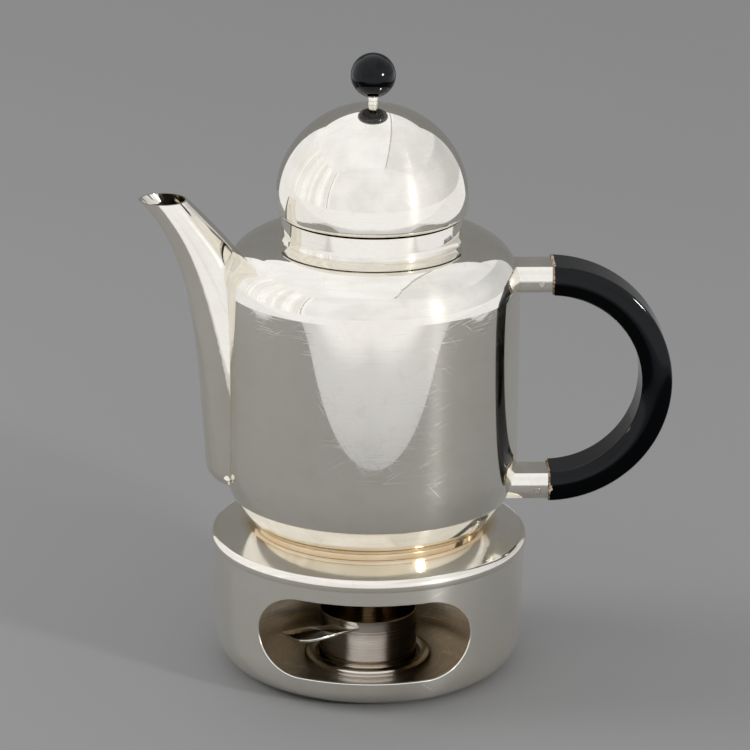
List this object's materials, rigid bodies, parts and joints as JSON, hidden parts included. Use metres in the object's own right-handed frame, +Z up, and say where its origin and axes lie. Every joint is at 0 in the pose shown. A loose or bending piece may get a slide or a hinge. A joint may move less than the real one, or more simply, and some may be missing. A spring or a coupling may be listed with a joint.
{
  "type": "coffee pot with warmer stand",
  "caption": "Straight-sided silver coffee pot with a domed lift-off lid, tapering spout and black ring handle, on a drum-shaped warmer stand with a window and a burner cup.",
  "frame": {"origin": "centre of the stand's flat resting face, on the axis of the stand, pot and lid", "axes": "+Z up along that axis, -X towards the spout, +X towards the handle, -Y towards the stand's window"},
  "size_m": [0.2259, 0.1356, 0.2701],
  "materials": {
    "pot_silver": "hand-polished silver with fine wiping scratches",
    "stand_silver": "polished silver, slightly softer than the pot",
    "inner_silver": "turned, unpolished silver",
    "black_handle": "polished black",
    "joint_cement": "dull brown cement"
  },
  "bodies": {
    "stand": {"stand_drum": "stand_silver", "stand_top": "stand_silver", "burner_seat_ring": "stand_silver"},
    "burner": {"burner_cup": "inner_silver", "burner_tab": "stand_silver"},
    "pot": {"pot_body": "pot_silver", "pot_base": "pot_silver", "foot_ring": "pot_silver", "neck_collar": "pot_silver", "spout": "pot_silver", "handle_socket_upper": "pot_silver", "handle_socket_lower": "pot_silver", "joint_filler_upper": "joint_cement", "joint_filler_lower": "joint_cement", "handle_pin_upper": "pot_silver", "handle_pin_lower": "pot_silver", "handle_grip": "black_handle"},
    "lid": {"lid_dome": "pot_silver", "lid_bezel": "pot_silver", "finial_post": "pot_silver", "finial_ball": "black_handle", "finial_washer": "inner_silver", "finial_nut": "inner_silver"}
  },
  "joints": [
    {"name": "pot_lift", "type": "slide", "parent": "stand", "child": "pot", "axis": [0, 0, 1], "range_m": [0, 0.12]},
    {"name": "lid_lift", "type": "slide", "parent": "pot", "child": "lid", "axis": [0, 0, 1], "range_m": [0, 0.06]},
    {"name": "burner_lift", "type": "slide", "parent": "stand", "child": "burner", "axis": [0, 0, 1], "range_m": [0, 0.025]}
  ]
}
